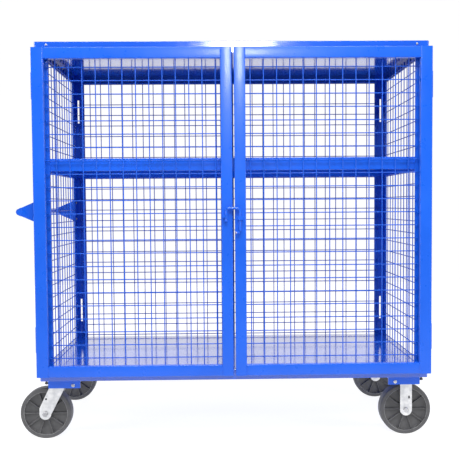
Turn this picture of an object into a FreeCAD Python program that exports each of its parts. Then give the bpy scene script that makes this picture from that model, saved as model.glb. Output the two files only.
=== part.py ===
# Wire-mesh security cart: a cage truck with a deck, a middle shelf and a roof sheet, two mesh
# doors hung on butt hinges, a drop-bar latch, a push handle and four casters.
# Millimetres. +Z is up, the doors face -Y, the push handle is on the -X side.
# The origin is on the floor under the middle of the cage.
import FreeCAD
import Part
import Sketcher
import math
import os
import re

SIZES = {
    # whole cage
    "width": 1516.0,
    "depth": 762.0,
    "height": 1554.0,
    "shelf_z": 1109.0,
    "caster_height": 241.3,
    # sheet-metal pans
    "sheet": 2.5,
    "deck_lip": 40.0,
    "shelf_lip": 48.0,
    "shelf_hem": 16.0,
    "hem_sheet": 1.5,
    "hem_clear": 4.0,
    "roof_lip": 42.0,
    "corner_radius": 8.0,
    "bend_radius": 2.0,
    # how far a cutting tool starts before the face it cuts
    "over": 1.0,
    # corner posts and headers
    "post_leg": 50.8,
    "post_wall": 4.0,
    "slot_width": 8.0,
    "slot_length": 110.0,
    "slot_inset": 22.0,
    # slot middles, above the deck and below the roof
    "slot_up": 132.0,
    "slot_down": 172.0,
    "rear_bar": 63.5,
    "rear_bar_shift": -16.0,
    # wire mesh
    "wire": 4.0,
    "pitch": 50.8,
    "lap": 0.8,
    "wire_end": 6.0,
    "wire_top_gap": 12.0,
    "wire_room": 1.0,
    # first row above the deck, first columns in from the cage's side and the rear bar's edge
    "cage_row_up": 11.0,
    "rear_wire_in": 31.0,
    "rear_bar_in": 9.55,
    # doors
    "door_gap": 8.5,
    "door_over": 4.0,
    "door_under": 18.0,
    "door_down": 28.0,
    "hinge_member": 46.0,
    "free_member": 43.0,
    "rail_high": 43.0,
    "member_deep": 25.0,
    "member_wall": 2.0,
    "member_radius": 3.0,
    "inner_corner": 0.8,
    "cap_inset": 1.0,
    "cap_wall": 2.0,
    "door_clear": 3.5,
    "door_wire_in": 35.0,
    "door_row_up": 18.4,
    # hinges
    "hinge_out": 2.0,
    "hinge_front": 3.0,
    "pin_end": 1.0,
    "hinge_length": 100.0,
    # hinge middles, above the deck and below the roof
    "hinge_up": 128.0,
    "hinge_down": 172.0,
    "pin_radius": 2.5,
    "knuckle_wall": 2.0,
    "leaf_frame": 34.0,
    "leaf_door": 28.0,
    "running": 0.05,
    "leaf_gap": 0.4,
    # latch
    "bar_radius": 5.0,
    "bar_left_x": -29.0,
    "bar_right_x": 24.0,
    "bar_top_z": 915.0,
    "bar_left_long": 51.0,
    "bar_right_long": 95.0,
    "bar_foot": 18.0,
    "bar_bend": 9.0,
    "bar_off": 6.0,
    "guide_down": 45.0,
    "guide_high": 14.0,
    "guide_wide": 20.0,
    "guide_wall": 3.0,
    "keeper_down": 36.0,
    "keeper_high": 10.0,
    "keeper_room": 6.0,
    "keeper_wide": 11.0,
    "keeper_open": 3.0,
    "keeper_wall": 3.0,
    # push handle
    "handle_z": 905.0,
    "handle_out": 71.5,
    "tube_radius": 12.7,
    "tube_wall": 2.0,
    "nose_radius": 17.0,
    "gusset": 6.0,
    "gusset_base": 94.0,
    "flange": 5.0,
    "flange_high": 105.0,
    "flange_wide": 40.0,
    "flange_inset": 6.0,
    "handle_bolt": 4.0,
    "handle_bolt_gap": 78.0,
    "handle_bolt_in": 12.0,
    "handle_hex": 7.5,
    "handle_head": 5.0,
    "handle_nut": 4.5,
    "handle_end": 1.5,
    # caster mounting plates
    "mount_wide": 124.0,
    "mount_x": 664.5,
    "mount_wall": 4.7,
    "mount_lip": 28.0,
    "mount_inset": 1.0,
    "lip_bolt_x": 630.0,
    "lip_bolt_up": 11.0,
    "lip_bolt": 4.0,
    "lip_hex": 6.5,
    "lip_head": 4.0,
    # studs under the deck's corners
    "stud_in": 12.0,
    "stud_x_in": 23.0,
    "stud": 4.0,
    "stud_low": 14.0,
    "stud_hex": 7.0,
    "stud_nut": 6.0,
    # rivet heads on the roof's front lip
    "rivet_x_in": 47.0,
    "rivet_down": 13.0,
    "rivet": 4.5,
    "rivet_high": 2.0,
    # casters
    "caster_y": 290.0,
    "swivel_x": 678.0,
    "rigid_x": 687.0,
    "trail": 75.0,
    "wheel_radius": 101.6,
    "wheel_wide": 50.8,
    "tread": 16.0,
    "shoulder": 5.0,
    "recess": 12.0,
    "hub_radius": 22.0,
    "hub_wide": 56.0,
    "rib": 5.0,
    "rib_count": 10.0,
    "rib_inset": 3.0,
    "plate_x": 95.0,
    "plate_y": 114.0,
    "plate_wall": 6.4,
    "bolt_x": 64.0,
    "bolt_y": 88.9,
    "bolt_radius": 4.75,
    "bolt_hex": 8.2,
    "bolt_head": 5.5,
    "bolt_nut": 6.0,
    "bolt_end": 1.0,
    "race_radius": 36.0,
    "race_high": 13.5,
    "race_gap": 0.4,
    "crown_radius": 45.0,
    "crown_wall": 6.0,
    "leg_wall": 5.0,
    "leg_room": 4.0,
    "leg_top": 62.0,
    "leg_lean": 20.0,
    "leg_round": 23.0,
    "leg_taper": 0.7,
    "leg_hole": 4.0,
    "leg_hole_x": 4.0,
    "leg_hole_z": 60.0,
    "rigid_leg": 47.0,
    "rigid_slot": 3.0,
    "rigid_slot_x": 12.0,
    "rigid_slot_z": 48.0,
    "rigid_slot_long": 6.0,
    "kingpin": 8.0,
    "king_nut": 14.0,
    "king_nut_high": 6.0,
    "king_step": 1.5,
    "axle": 6.35,
    "axle_hex": 11.0,
    "axle_head": 7.0,
    "axle_nut": 9.0,
    "axle_end": 2.0,
    "bush_wall": 3.6,
    "bush_play": 0.2,
}

doc = FreeCAD.newDocument("cage_cart")
sheet = doc.addObject("Spreadsheet::Sheet", "dims")
WORD = re.compile(r"[a-z][a-z_]*")
parts = []


def fill_sheet():
    for row, (name, number) in enumerate(SIZES.items(), start=1):
        sheet.set("A%d" % row, name)
        sheet.set("B%d" % row, repr(number))
        sheet.setAlias("B%d" % row, name)
    doc.recompute()


def size(name):
    return float(sheet.get(name))


def ex(text):
    """An expression in which every size name points at its cell."""
    return WORD.sub(lambda m: "dims." + m.group(0) if m.group(0) in SIZES else m.group(0), str(text))


def value(text):
    """The number that an expression gives now, read back through a scratch cell."""
    sheet.set("D1", "=" + text)
    sheet.recompute()
    return float(sheet.get("D1"))


def bind(obj, **sizes):
    for prop, text in sizes.items():
        obj.setExpression(prop.replace("__", "."), ex(text))


def place(obj, x, y, z):
    bind(obj, Placement__Base__x=x, Placement__Base__y=y, Placement__Base__z=z)


def box(name, low, span):
    obj = doc.addObject("Part::Box", name)
    bind(obj, Length=span[0], Width=span[1], Height=span[2])
    place(obj, *low)
    return obj


TURN = {
    "x": FreeCAD.Rotation(FreeCAD.Vector(0, 1, 0), 90),
    "y": FreeCAD.Rotation(FreeCAD.Vector(1, 0, 0), -90),
    "z": FreeCAD.Rotation(),
}


def rod(name, axis, low, radius, length):
    """A cylinder that starts at low and runs along +axis."""
    obj = doc.addObject("Part::Cylinder", name)
    obj.Placement = FreeCAD.Placement(FreeCAD.Vector(), TURN[axis])
    bind(obj, Radius=radius, Height=length)
    place(obj, *low)
    return obj


def hexagon(name, axis, low, radius, length):
    """A six-sided bolt head or nut that starts at low and runs along +axis."""
    obj = doc.addObject("Part::Prism", name)
    obj.Polygon = 6
    obj.Placement = FreeCAD.Placement(FreeCAD.Vector(), TURN[axis])
    bind(obj, Circumradius=radius, Height=length)
    place(obj, *low)
    return obj


def join(name, shapes):
    obj = doc.addObject("Part::MultiFuse", name)
    obj.Shapes = shapes
    obj.Refine = True
    return obj


def cut(name, base, tool):
    obj = doc.addObject("Part::Cut", name)
    obj.Base = base
    obj.Tool = tool
    obj.Refine = True
    return obj


def group(name, shapes):
    obj = doc.addObject("Part::Compound", name)
    obj.Links = shapes
    return obj


def keep(obj, label):
    obj.Label = label
    parts.append(obj)
    return obj


# sketch-based bodies -------------------------------------------------------------------------

ROLE = {"z": "XY_Plane", "y": "XZ_Plane", "x": "YZ_Plane"}


def new_body(name):
    return doc.addObject("PartDesign::Body", name)


def new_sketch(body, name, normal, level):
    """A sketch across the normal axis at the given level on it."""
    sk = body.newObject("Sketcher::SketchObject", name)
    plane = [f for f in body.Origin.OriginFeatures if f.Role == ROLE[normal]][0]
    sk.AttachmentSupport = [(plane, "")]
    sk.MapMode = "FlatFace"
    lift = "-(%s)" % level if normal == "y" else level
    sk.setExpression("AttachmentOffset.Base.z", ex(lift))
    return sk


def outline(sk, points):
    """A closed outline with every corner held by expressions."""
    spots = [FreeCAD.Vector(value(a), value(b), 0) for a, b in points]
    first = sk.GeometryCount
    for i, spot in enumerate(spots):
        sk.addGeometry(Part.LineSegment(spot, spots[(i + 1) % len(spots)]), False)
    for i in range(len(spots)):
        follow = first + (i + 1) % len(spots)
        sk.addConstraint(Sketcher.Constraint("Coincident", first + i, 2, follow, 1))
    for i, (a, b) in enumerate(points):
        hold(sk, first + i, 1, a, b)


def hold(sk, geo, point, a, b):
    n = sk.addConstraint(Sketcher.Constraint("DistanceX", -1, 1, geo, point, value(a)))
    sk.setExpression("Constraints[%d]" % n, ex(a))
    n = sk.addConstraint(Sketcher.Constraint("DistanceY", -1, 1, geo, point, value(b)))
    sk.setExpression("Constraints[%d]" % n, ex(b))


def ring(sk, a, b, radius):
    circle = Part.Circle(FreeCAD.Vector(value(a), value(b), 0), FreeCAD.Vector(0, 0, 1), value(radius))
    geo = sk.addGeometry(circle, False)
    hold(sk, geo, 3, a, b)
    n = sk.addConstraint(Sketcher.Constraint("Radius", geo, value(radius)))
    sk.setExpression("Constraints[%d]" % n, ex(radius))


def corners(x, y, w, h):
    right = "(%s)+(%s)" % (x, w)
    top = "(%s)+(%s)" % (y, h)
    return [(x, y), (right, y), (right, top), (x, top)]


def pad(body, sk, length, normal):
    obj = body.newObject("PartDesign::Pad", sk.Name + "_pad")
    obj.Profile = sk
    obj.Reversed = normal == "y"
    obj.setExpression("Length", ex(length))
    sk.Visibility = False
    body.Tip = obj
    return obj


def pocket(body, sk, length, normal):
    """A pocket that runs along +normal from the sketch and must take material away."""
    doc.recompute()
    before = body.Shape.Volume
    obj = body.newObject("PartDesign::Pocket", sk.Name + "_cut")
    obj.Profile = sk
    obj.Reversed = normal != "y"
    obj.setExpression("Length", ex(length))
    sk.Visibility = False
    body.Tip = obj
    doc.recompute()
    if body.Shape.Volume >= before - 1e-6:
        raise RuntimeError("pocket takes nothing away: " + sk.Name)
    return obj


def round_edges(body, name, radius, wanted):
    """Rounds the edges of the tip that the test picks."""
    doc.recompute()
    tip = body.Tip
    names = ["Edge%d" % (i + 1) for i, e in enumerate(tip.Shape.Edges) if wanted(e)]
    if not names:
        raise RuntimeError("no edge to round: " + name)
    obj = body.newObject("PartDesign::Fillet", name)
    obj.Base = (tip, names)
    obj.setExpression("Radius", ex(radius))
    body.Tip = obj
    return obj


def along(edge, axis):
    low, high = edge.Vertexes[0].Point, edge.Vertexes[-1].Point
    run = high - low
    return abs(getattr(run, axis)) > 0.999 * run.Length > 1e-6


def prism(name, normal, points, level, length):
    body = new_body(name)
    sk = new_sketch(body, name + "_sk", normal, level)
    outline(sk, points)
    pad(body, sk, length, normal)
    return body


# cage ----------------------------------------------------------------------------------------

DECK = "(caster_height+mount_wall+deck_lip)"
POST_X = "(width/2-sheet)"
POST_Y = "(depth/2-sheet)"
MESH_DEEP = "(wire*(1+lap))"
MESH_X = "(%s-post_wall-%s)" % (POST_X, MESH_DEEP)
MESH_Y = "(%s-post_wall-%s)" % (POST_Y, MESH_DEEP)


def pan(label, x, y, w, d, top, lip):
    """A sheet folded down on four sides, with rounded corners and bends."""
    body = prism(label, "z", corners(x, y, w, d), "%s-%s" % (top, lip), lip)
    round_edges(body, label + "_corners", "corner_radius", lambda e: along(e, "z"))
    level = value("%s" % top)
    round_edges(body, label + "_bend", "bend_radius",
                lambda e: min(v.Z for v in e.Vertexes) > level - 0.01)
    sk = new_sketch(body, label + "_inner", "z", "%s-%s" % (top, lip))
    outline(sk, corners(x + "+sheet", y + "+sheet", w + "-2*sheet", d + "-2*sheet"))
    pocket(body, sk, lip + "-sheet", "z")
    return body


def make_deck():
    keep(pan("deck_pan", "-width/2", "-depth/2", "width", "depth", DECK, "deck_lip"), "deck_pan")


def make_roof():
    keep(pan("roof_pan", "-width/2", "-depth/2", "width", "depth", "height", "roof_lip"), "roof_pan")
    heads = [rod("rivet_%d" % (side + 1), "y",
                 ["%d*(width/2-rivet_x_in)" % side, "-depth/2-rivet_high", "height-rivet_down"],
                 "rivet", "rivet_high") for side in (-1, 1)]
    keep(group("rivets_all", heads), "roof_rivets")


def make_studs():
    """A short stud with a nut under each corner of the deck, behind its lip."""
    studs = []
    low = "(caster_height+mount_wall-stud_low)"
    for side in (-1, 1):
        for end in (-1, 1):
            x = "%d*(width/2-stud_x_in)" % side
            y = "%d*(depth/2-stud_in)" % end
            key = "%d%d" % (side + 1, end + 1)
            stem = rod("stud_" + key, "z", [x, y, low], "stud", "%s-sheet-%s" % (DECK, low))
            nut = hexagon("stud_nut_" + key, "z", [x, y, low + "+over"], "stud_hex", "stud_nut")
            studs.append(join("stud_body_" + key, [stem, nut]))
    keep(group("studs_all", studs), "foot_studs")


def make_shelf():
    front = "-(%s-post_wall)" % POST_Y
    deep = "%s-post_wall+%s" % (POST_Y, MESH_Y)
    base = pan("shelf_sheet", "-" + MESH_X, front, "2*" + MESH_X, deep, "shelf_z", "shelf_lip")
    half = "(%s-post_leg-hem_clear)" % POST_X
    hem = box("shelf_hem_bar", ["-" + half, front + "-hem_sheet", "shelf_z-shelf_lip"],
              ["2*" + half, "hem_sheet", "shelf_hem"])
    keep(join("mid_shelf_all", [base, hem]), "mid_shelf")


def handle_bolt_y(end):
    return "%d*(%s-flange_inset-handle_bolt_in)" % (end, POST_Y)


def handle_bolt_z(sign):
    return "handle_z+%d*handle_bolt_gap/2" % sign


def make_post(label, side, end):
    """An angle with its corner outward and a slot near each end of the leg that faces Y."""
    x = "%d*%s" % (side, POST_X)
    y = "%d*%s" % (end, POST_Y)
    points = [
        (x, y),
        ("%s-%d*post_leg" % (x, side), y),
        ("%s-%d*post_leg" % (x, side), "%s-%d*post_wall" % (y, end)),
        ("%s-%d*post_wall" % (x, side), "%s-%d*post_wall" % (y, end)),
        ("%s-%d*post_wall" % (x, side), "%s-%d*post_leg" % (y, end)),
        (x, "%s-%d*post_leg" % (y, end)),
    ]
    body = prism(label + "_angle", "z", points, DECK, "height-sheet-" + DECK)
    level = "%s-%s" % (y, "post_wall-over" if end > 0 else "over")
    for n, at in enumerate((DECK + "+slot_up", "height-slot_down")):
        sk = new_sketch(body, "%s_slot%d" % (label, n), "y", level)
        left = "%s-%d*slot_inset-slot_width/2" % (x, side)
        outline(sk, corners(left, at + "-slot_length/2", "slot_width", "slot_length"))
        pocket(body, sk, "post_wall+2*over", "y")
    if side < 0:
        holes = [rod("%s_hole%d" % (label, n), "x",
                     ["-%s-over" % POST_X, handle_bolt_y(end), handle_bolt_z(sign)],
                     "handle_bolt", "post_wall+2*over") for n, sign in enumerate((-1, 1))]
        body = cut(label + "_drilled", body, join(label + "_holes", holes))
    keep(body, label)


def make_headers():
    low = "height-roof_lip"
    high = "roof_lip-sheet"
    bars = []
    for side, name in ((-1, "left"), (1, "right")):
        x = "-%s" % POST_X if side < 0 else "%s-post_wall" % POST_X
        bars.append(box("header_" + name, [x, "-(%s-post_leg)" % POST_Y, low],
                        ["post_wall", "2*(%s-post_leg)" % POST_Y, high]))
    keep(group("side_headers_all", bars), "side_headers")
    rear = box("rear_header_bar", ["-(%s-post_leg)" % POST_X, "%s-post_wall" % POST_Y, low],
               ["2*(%s-post_leg)" % POST_X, "post_wall", high])
    keep(rear, "rear_header")
    centre = box("rear_centre_bar", ["rear_bar_shift-rear_bar/2", "%s-post_wall" % POST_Y, DECK],
                 ["rear_bar", "post_wall", "height-roof_lip-" + DECK])
    keep(centre, "rear_centre_post")


# wire mesh -----------------------------------------------------------------------------------

def wire_bar(start, direction, length):
    """One wire, drawn as an eight-sided bar of the wire's own width across the flats."""
    radius = size("wire") / 2 / math.cos(math.pi / 8)
    one = FreeCAD.Vector(0, 1, 0)
    two = direction.cross(one)
    spots = []
    for i in range(9):
        angle = math.pi / 8 + i * math.pi / 4
        spots.append(start + one * (radius * math.cos(angle)) + two * (radius * math.sin(angle)))
    return Part.Face(Part.makePolygon(spots)).extrude(direction * length)


def wire_panel(label, columns, rows, low, high, row_ends, row_side, turn=None):
    """Crossed wires welded where they touch. Columns stand at x, rows lie behind or before them."""
    across = size("wire") * size("lap") * row_side
    up = FreeCAD.Vector(0, 0, 1)
    right = FreeCAD.Vector(1, 0, 0)
    bars = [wire_bar(FreeCAD.Vector(x, 0, low), up, high - low) for x in columns]
    for z in rows:
        start = FreeCAD.Vector(row_ends[0], across, z)
        bars.append(wire_bar(start, right, row_ends[1] - row_ends[0]))
    shape = bars[0].multiFuse(bars[1:])
    if len(shape.Solids) != 1:
        raise RuntimeError("wires of %s are not one piece" % label)
    obj = doc.addObject("Part::Feature", label)
    obj.Shape = shape.Solids[0]
    obj.Placement = turn
    keep(obj, label)


def spaced(first, last):
    """Wire places from first, one pitch apart, that do not pass last."""
    count = int((last - first) / size("pitch") + 1e-6) + 1
    return [first + i * size("pitch") for i in range(count)]


def make_cage_mesh():
    low = value(DECK)
    high = size("height") - size("sheet") - size("wire_top_gap")
    half = size("wire") / 2
    rows = spaced(low + size("cage_row_up"), high - half)
    inner = size("depth") / 2 - size("sheet") - size("post_wall") - half
    flat = FreeCAD.Rotation()
    left_x = -value("width/2-rear_wire_in")
    right_x = value("rear_bar_shift+rear_bar/2-rear_bar_in")
    room = size("wire_end") + size("wire_room")
    for label, first, last in (("rear_mesh_left", left_x, right_x - size("wire_end") - room),
                               ("rear_mesh_right", right_x, value(MESH_X) - room)):
        columns = spaced(first, last)
        ends = (columns[0] - size("wire_end"), columns[-1] + size("wire_end"))
        wire_panel(label, columns, rows, low, high, ends, -1,
                   FreeCAD.Placement(FreeCAD.Vector(0, inner, 0), flat))
    between = value("%s-post_leg" % POST_Y)
    reach = (int(2 * between / size("pitch")) + 1) * size("pitch") / 2
    columns = spaced(-reach, reach)
    ends = (-reach - size("wire_end"), reach + size("wire_end"))
    inner = size("width") / 2 - size("sheet") - size("post_wall") - half
    for label, side in (("left_side_mesh", -1), ("right_side_mesh", 1)):
        turn = FreeCAD.Rotation(FreeCAD.Vector(0, 0, 1), -90 * side)
        wire_panel(label, columns, rows, low, high, ends, -1,
                   FreeCAD.Placement(FreeCAD.Vector(side * inner, 0, 0), turn))


# doors ---------------------------------------------------------------------------------------

WIRE_BACK = "(depth/2+door_clear)"
FRAME_BACK = "(%s+%s)" % (WIRE_BACK, MESH_DEEP)
FACE = "(%s+member_deep)" % FRAME_BACK
DOOR_SIDE = "(width/2+door_over)"
DOOR_LOW = "(%s-door_under)" % DECK
DOOR_TOP = "(height-door_down)"
DOOR_HIGH = "(%s-%s)" % (DOOR_TOP, DOOR_LOW)


def tube_bar(label, normal, x, y, w, h, level, length):
    """A rounded rectangular tube along one axis."""
    body = prism(label, normal, corners(x, y, w, h), level, length)
    round_edges(body, label + "_round", "member_radius", lambda e: along(e, normal))
    sk = new_sketch(body, label + "_bore", normal, level)
    inner = corners("(%s)+member_wall" % x, "(%s)+member_wall" % y,
                    "(%s)-2*member_wall" % w, "(%s)-2*member_wall" % h)
    outline(sk, chamfered(inner))
    pocket(body, sk, length, normal)
    keep(body, label)


def chamfered(points):
    """Cuts the corners of a rectangle so that a rounded tube keeps its wall."""
    cutback = "(member_radius-member_wall)*inner_corner"
    x1, y1 = points[0]
    x2, y2 = points[2]
    return [
        ("%s+%s" % (x1, cutback), y1),
        ("%s-%s" % (x2, cutback), y1),
        (x2, "%s+%s" % (y1, cutback)),
        (x2, "%s-%s" % (y2, cutback)),
        ("%s-%s" % (x2, cutback), y2),
        ("%s+%s" % (x1, cutback), y2),
        (x1, "%s-%s" % (y2, cutback)),
        (x1, "%s+%s" % (y1, cutback)),
    ]


def make_door(name, side):
    inner = "door_gap/2"
    hinge_x = "-" + DOOR_SIDE if side < 0 else DOOR_SIDE + "-hinge_member"
    free_x = "-%s-free_member" % inner if side < 0 else inner
    rail_x = "-%s+hinge_member" % DOOR_SIDE if side < 0 else "door_gap/2+free_member"
    rail_w = "%s-%s-hinge_member-free_member" % (DOOR_SIDE, inner)
    front = "-" + FACE
    tube_bar(name + "_hinge_stile", "z", hinge_x, front, "hinge_member", "member_deep",
             DOOR_LOW, DOOR_HIGH)
    tube_bar(name + "_free_stile", "z", free_x, front, "free_member", "member_deep",
             DOOR_LOW, DOOR_HIGH)
    for rail, z in (("_top_rail", DOOR_TOP + "-rail_high"), ("_bottom_rail", DOOR_LOW)):
        tube_bar(name + rail, "x", front, z, "member_deep", "rail_high", rail_x, rail_w)
    caps = []
    for n, (x, wide) in enumerate(((hinge_x, "hinge_member"), (free_x, "free_member"))):
        for m, z in enumerate((DOOR_LOW + "+cap_inset", DOOR_TOP + "-cap_inset-cap_wall")):
            plug = prism("%s_cap_%d%d" % (name, n, m), "z",
                         chamfered(corners("(%s)+member_wall" % x, "(%s)+member_wall" % front,
                                           wide + "-2*member_wall", "member_deep-2*member_wall")),
                         z, "cap_wall")
            caps.append(plug)
    keep(group(name + "_caps_all", caps), name + "_stile_caps")
    places = spaced(-value(DOOR_SIDE + "-door_wire_in"),
                    -value("door_gap/2+wire_end+wire_room"))
    columns = sorted(-side * x for x in places)
    rows = spaced(value(DOOR_LOW + "+door_row_up"),
                  value(DOOR_TOP + "-wire_end-wire_room"))
    ends = (columns[0] - size("wire_end"), columns[-1] + size("wire_end"))
    plane = size("depth") / 2 + size("door_clear") + size("wire") * (size("lap") + 0.5)
    low = rows[0] - size("wire_end")
    high = rows[-1] + size("wire_end")
    wire_panel(name + "_mesh", columns, rows, low, high, ends, 1,
               FreeCAD.Placement(FreeCAD.Vector(0, -plane, 0), FreeCAD.Rotation()))


# hinges --------------------------------------------------------------------------------------

HINGE_X = "(%s+hinge_out)" % DOOR_SIDE
HINGE_Y = "-(depth/2+hinge_front)"
KNUCKLE = "(pin_radius+knuckle_wall)"
HINGE_MIDDLES = (("low", DECK + "+hinge_up"), ("high", "height-hinge_down"))


def make_hinges():
    frame_leaves = []
    pins = []
    for side, name in ((-1, "left"), (1, "right")):
        door_leaves = []
        for at, middle in HINGE_MIDDLES:
            key = "%s_%s" % (name, at)
            frame_leaves.append(frame_leaf(key, side, middle))
            door_leaves.append(door_leaf(key, side, middle))
            pins.append(rod("pin_" + key, "z",
                            ["%d*%s" % (side, HINGE_X), HINGE_Y, middle + "-hinge_length/2-pin_end"],
                            "pin_radius", "hinge_length+2*pin_end"))
        keep(group(name + "_leaves_all", door_leaves), name + "_door_leaves")
    keep(group("frame_leaves_all", frame_leaves), "frame_leaves")
    keep(group("hinge_pins_all", pins), "hinge_pins")


def frame_leaf(key, side, middle):
    x = "%d*%s" % (side, HINGE_X)
    low = middle + "-hinge_length/2"
    third = "hinge_length/3"
    plate_x = POST_X if side > 0 else "-" + DOOR_SIDE
    plate = box("fl_plate_" + key, [plate_x, HINGE_Y, low],
                ["sheet+door_over", "leaf_frame", "hinge_length"])
    knuckles = [rod("fl_k%d_%s" % (n, key), "z", [x, HINGE_Y, "%s+%d*%s" % (low, 2 * n, third)],
                    KNUCKLE, third) for n in (0, 1)]
    body = join("fl_body_" + key, [plate] + knuckles)
    bore = rod("fl_bore_" + key, "z", [x, HINGE_Y, low + "-over"], "pin_radius",
               "hinge_length+2*over")
    room = rod("fl_room_" + key, "z", [x, HINGE_Y, "%s+%s-leaf_gap" % (low, third)],
               KNUCKLE + "+leaf_gap", third + "+2*leaf_gap")
    return cut("fl_" + key, body, join("fl_tool_" + key, [bore, room]))


def door_leaf(key, side, middle):
    x = "%d*%s" % (side, HINGE_X)
    low = middle + "-hinge_length/2"
    third = "hinge_length/3"
    plate_x = DOOR_SIDE if side > 0 else "-" + HINGE_X
    plate = box("dl_plate_" + key, [plate_x, HINGE_Y + "-leaf_door", low],
                ["hinge_out", "leaf_door", "hinge_length"])
    barrel = rod("dl_k_" + key, "z", [x, HINGE_Y, "%s+%s" % (low, third)], KNUCKLE, third)
    body = join("dl_body_" + key, [plate, barrel])
    bore = rod("dl_bore_" + key, "z", [x, HINGE_Y, low + "-over"], "pin_radius+running",
               "hinge_length+2*over")
    rooms = [rod("dl_r%d_%s" % (n, key), "z",
                 [x, HINGE_Y, "%s-leaf_gap+%d*(2*%s)" % (low, n, third)],
                 KNUCKLE + "+leaf_gap", third + "+2*leaf_gap") for n in (0, 1)]
    return cut("dl_" + key, body, join("dl_tool_" + key, [bore] + rooms))


# latch ---------------------------------------------------------------------------------------

BAR_Y = "-(%s+bar_radius+bar_off)" % FACE
BAR_LEFT_Z = "(bar_top_z-bar_left_long)"
BAR_FOOT_Z = "(bar_top_z-bar_right_long)"
GUIDE_LOW = "(bar_top_z-guide_down)"
KEEPER_LOW = "(bar_top_z-keeper_down)"


def make_latch():
    body = new_body("latch_rod")
    path = new_sketch(body, "latch_path", "y", BAR_Y)
    spots = [
        ("bar_left_x", BAR_LEFT_Z),
        ("bar_left_x", "bar_top_z-bar_bend"),
        ("bar_left_x+bar_bend", "bar_top_z"),
        ("bar_right_x-bar_bend", "bar_top_z"),
        ("bar_right_x", "bar_top_z-bar_bend"),
        ("bar_right_x", BAR_FOOT_Z + "+bar_bend"),
        ("bar_right_x-bar_bend", BAR_FOOT_Z),
        ("bar_right_x-bar_foot", BAR_FOOT_Z),
    ]
    for i in range(len(spots) - 1):
        ends = [FreeCAD.Vector(value(a), value(b), 0) for a, b in spots[i:i + 2]]
        path.addGeometry(Part.LineSegment(*ends), False)
    for i in range(len(spots) - 2):
        path.addConstraint(Sketcher.Constraint("Coincident", i, 2, i + 1, 1))
    for i, (a, b) in enumerate(spots[:-1]):
        hold(path, i, 1, a, b)
    hold(path, len(spots) - 2, 2, *spots[-1])
    section = new_sketch(body, "latch_section", "z", BAR_LEFT_Z)
    ring(section, "bar_left_x", BAR_Y, "bar_radius")
    pipe = body.newObject("PartDesign::AdditivePipe", "latch_pipe")
    pipe.Profile = section
    pipe.Spine = path
    pipe.Transition = 2
    body.Tip = pipe
    keep(body, "latch_bar")

    block = box("guide_block",
                ["bar_right_x-guide_wide/2", BAR_Y + "-bar_radius-guide_wall", GUIDE_LOW],
                ["guide_wide", "2*bar_radius+bar_off+guide_wall", "guide_high"])
    bore = rod("guide_bore", "z", ["bar_right_x", BAR_Y, GUIDE_LOW + "-over"], "bar_radius+running",
               "guide_high+2*over")
    keep(cut("guide_all", block, bore), "latch_guide")
    hook = box("keeper_block",
               ["bar_left_x-keeper_open-keeper_wide", BAR_Y + "-keeper_room-keeper_wall", KEEPER_LOW],
               ["keeper_wide", "bar_radius+bar_off+keeper_room+keeper_wall", "keeper_high"])
    room = rod("keeper_bore", "z", ["bar_left_x", BAR_Y, KEEPER_LOW + "-over"], "keeper_room",
               "keeper_high+2*over")
    keep(cut("keeper_all", hook, room), "latch_keeper")


# push handle ---------------------------------------------------------------------------------

def make_handle():
    centre_x = "-(%s+handle_out)" % POST_X
    brackets = []
    bolts = []
    for end, name in ((-1, "front"), (1, "rear")):
        edge = "-(%s-flange_inset)" % POST_Y if end < 0 else \
            "%s-flange_inset-flange_wide" % POST_Y
        web = "%s+flange_wide-gusset" % edge if end < 0 else edge
        low = "handle_z-flange_high/2"
        flange = box("flange_" + name, ["-(%s+flange)" % POST_X, edge, low],
                     ["flange", "flange_wide", "flange_high"])
        plate = prism("gusset_" + name, "y", [
            ("-(%s+flange/2)" % POST_X, "handle_z-gusset_base/2"),
            ("-(%s+flange/2)" % POST_X, "handle_z+gusset_base/2"),
            (centre_x, "handle_z+nose_radius"),
            (centre_x, "handle_z-nose_radius"),
        ], web, "gusset")
        nose = rod("nose_" + name, "y", [centre_x, web, "handle_z"], "nose_radius", "gusset")
        body = join("bracket_body_" + name, [flange, plate, nose])
        hole_y = handle_bolt_y(end)
        holes = []
        for n, sign in enumerate((-1, 1)):
            z = handle_bolt_z(sign)
            holes.append(rod("hole_%s%d" % (name, n), "x", ["-(%s+flange)-over" % POST_X, hole_y, z],
                             "handle_bolt", "flange+2*over"))
            head = hexagon("head_%s%d" % (name, n), "x",
                           ["-(%s+flange+handle_head)" % POST_X, hole_y, z], "handle_hex", "handle_head")
            shank = rod("shank_%s%d" % (name, n), "x", ["-(%s+flange)-over" % POST_X, hole_y, z],
                        "handle_bolt", "over+flange+post_wall+handle_nut+handle_end")
            nut = hexagon("nut_%s%d" % (name, n), "x", ["-(%s-post_wall)" % POST_X, hole_y, z],
                          "handle_hex", "handle_nut")
            bolts.append(join("bolt_%s%d" % (name, n), [head, shank, nut]))
        brackets.append(cut("bracket_" + name, body, join("holes_" + name, holes)))
    keep(group("handle_brackets_all", brackets), "handle_brackets")
    keep(group("handle_bolts_all", bolts), "handle_bolts")
    start = "-(%s-flange_inset)+flange_wide" % POST_Y
    span = "2*(%s-flange_inset-flange_wide)" % POST_Y
    outer = rod("handle_outer", "y", [centre_x, start, "handle_z"], "tube_radius", span)
    inner = rod("handle_inner", "y", [centre_x, start + "-over", "handle_z"], "tube_radius-tube_wall",
                span + "+2*over")
    keep(cut("handle_all", outer, inner), "handle_tube")


# casters -------------------------------------------------------------------------------------

PLATE_TOP = "caster_height"
PLATE_LOW = "(caster_height-plate_wall)"
LEG_IN = "(wheel_wide/2+leg_room)"


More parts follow.
